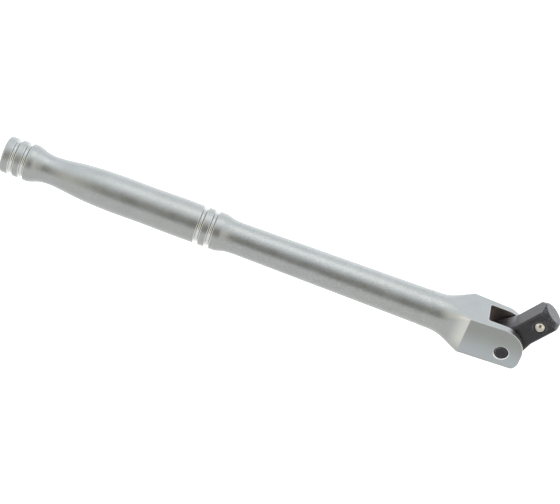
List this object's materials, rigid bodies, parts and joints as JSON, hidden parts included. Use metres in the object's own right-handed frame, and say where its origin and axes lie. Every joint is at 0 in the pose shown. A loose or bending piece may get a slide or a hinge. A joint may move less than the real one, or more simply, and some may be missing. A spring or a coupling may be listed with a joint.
{
  "type": "flex-head breaker bar",
  "caption": "Flex-head breaker bar: round satin handle with grooved grip and forked head holding a black swinging square drive with a detent ball.",
  "frame": {"origin": "centre of the handle's flat butt end face, on the handle's axis", "axes": "+X along the handle's axis from the butt to the head, +Y along the hinge pin, +Z towards the side the drive swings up to"},
  "size_m": [0.2921, 0.0242, 0.0379],
  "materials": {
    "satin_chrome": "satin chrome plate",
    "black_oxide_drive": "black oxide",
    "black_oxide_pin": "black oxide",
    "ball_steel": "polished hardened steel",
    "plunger_steel": "ground steel",
    "spring_steel": "drawn spring steel"
  },
  "bodies": {
    "handle": {"handle_bar": "satin_chrome", "hinge_pin": "black_oxide_pin", "friction_spring": "spring_steel"},
    "drive": {"drive_tang": "black_oxide_drive", "detent_spring": "spring_steel"},
    "ball": {"detent_ball": "ball_steel"},
    "plunger": {"friction_plunger": "plunger_steel"}
  },
  "joints": [
    {"name": "drive_hinge", "type": "hinge", "parent": "handle", "child": "drive", "pos_m": [0.2701, 0, -0.0031], "axis": [0, -1, 0], "range_deg": [-157, 43]},
    {"name": "ball_detent", "type": "slide", "parent": "drive", "child": "ball", "axis": [0, 1, 0], "range_m": [0, 0.0012], "stiffness_N_per_m": 1500, "springref_m": -0.001, "deforming": ["detent_spring"]},
    {"name": "plunger_friction", "type": "slide", "parent": "handle", "child": "plunger", "axis": [-1, 0, 0], "range_m": [0, 0.001], "stiffness_N_per_m": 3000, "springref_m": -0.002, "deforming": ["friction_spring"]}
  ]
}
